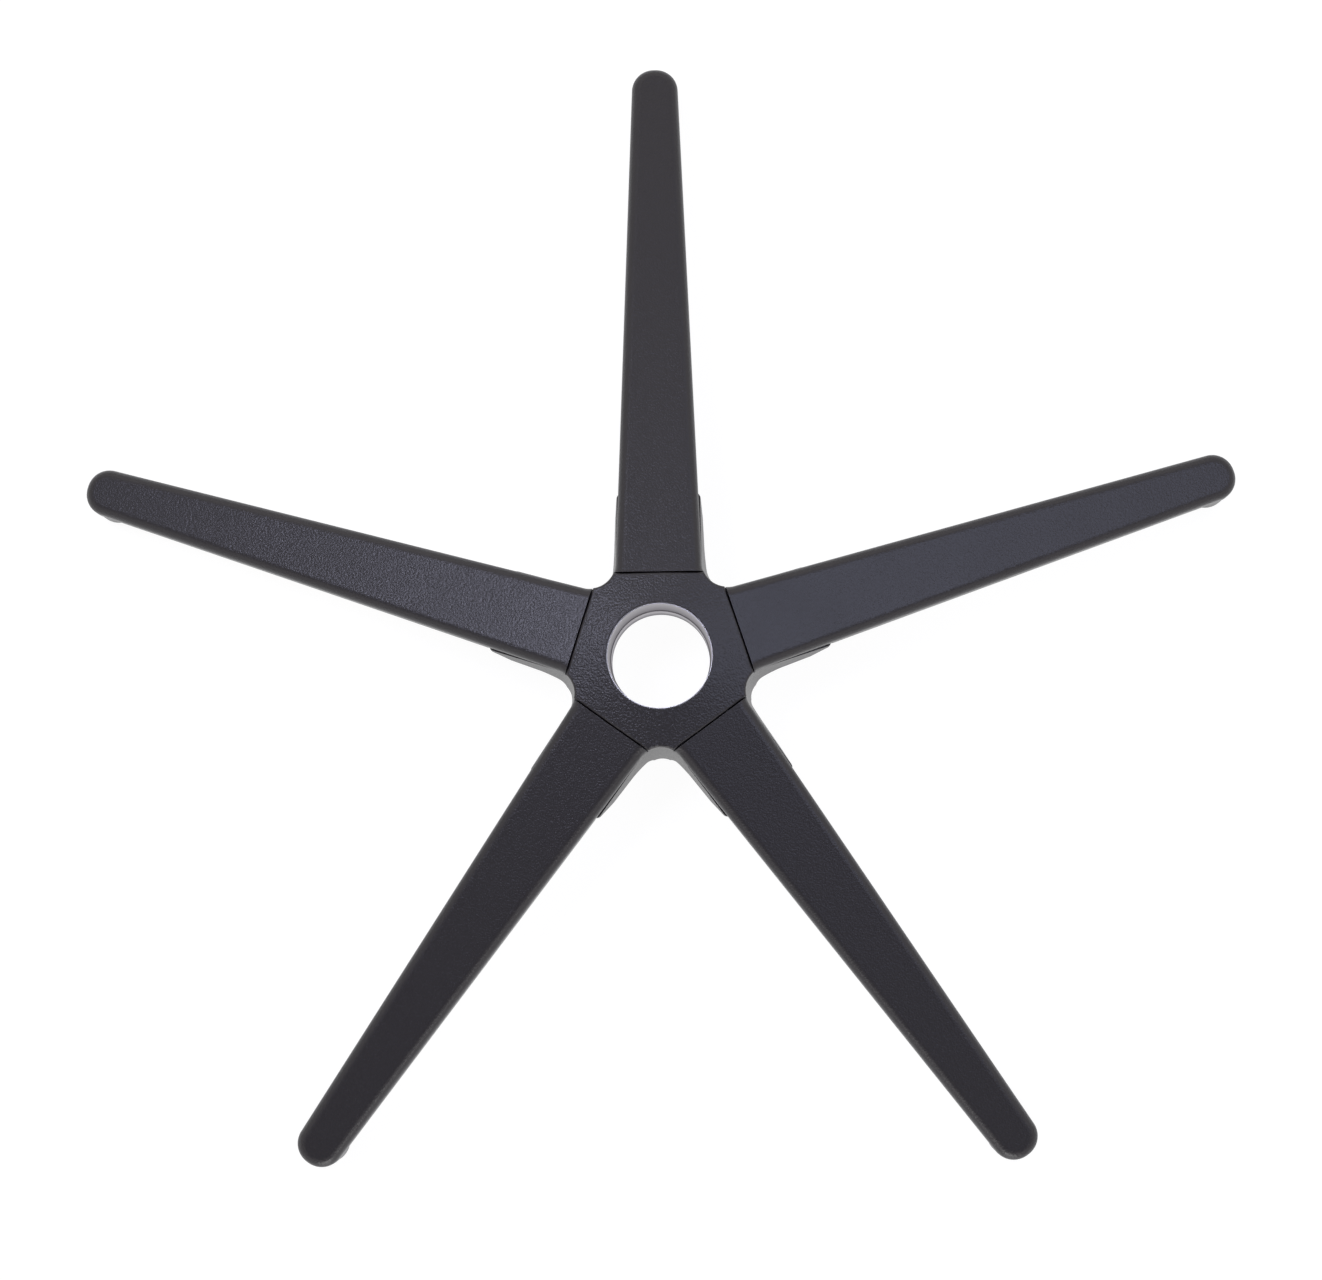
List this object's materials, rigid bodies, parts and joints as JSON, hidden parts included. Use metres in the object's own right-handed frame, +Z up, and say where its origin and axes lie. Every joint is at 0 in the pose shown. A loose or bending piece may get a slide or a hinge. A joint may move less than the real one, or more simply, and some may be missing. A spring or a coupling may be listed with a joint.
{
  "type": "office chair five star base",
  "caption": "Star-shaped office chair base in black plastic: a pentagonal hub with a steel taper bore, tapering bolted legs and a caster socket under each leg tip.",
  "frame": {"origin": "on the axis of the gas lift bore, level with the upper root edges of the legs", "axes": "+Z up along the bore axis, +Y along leg 1, the other legs following anticlockwise at 72 degrees"},
  "size_m": [0.572, 0.5451, 0.0817],
  "materials": {
    "nylon": "black glass-filled nylon, finely textured, satin",
    "sleeve_steel": "turned bright steel",
    "fastener_steel": "zinc-plated steel",
    "insert_brass": "turned brass"
  },
  "bodies": {
    "root": {"hub": "nylon", "taper_sleeve": "sleeve_steel", "leg_1": "nylon", "leg_2": "nylon", "leg_3": "nylon", "leg_4": "nylon", "leg_5": "nylon", "leg_bolts": "fastener_steel", "bolt_washers": "fastener_steel", "threaded_inserts": "insert_brass"}
  },
  "joints": []
}
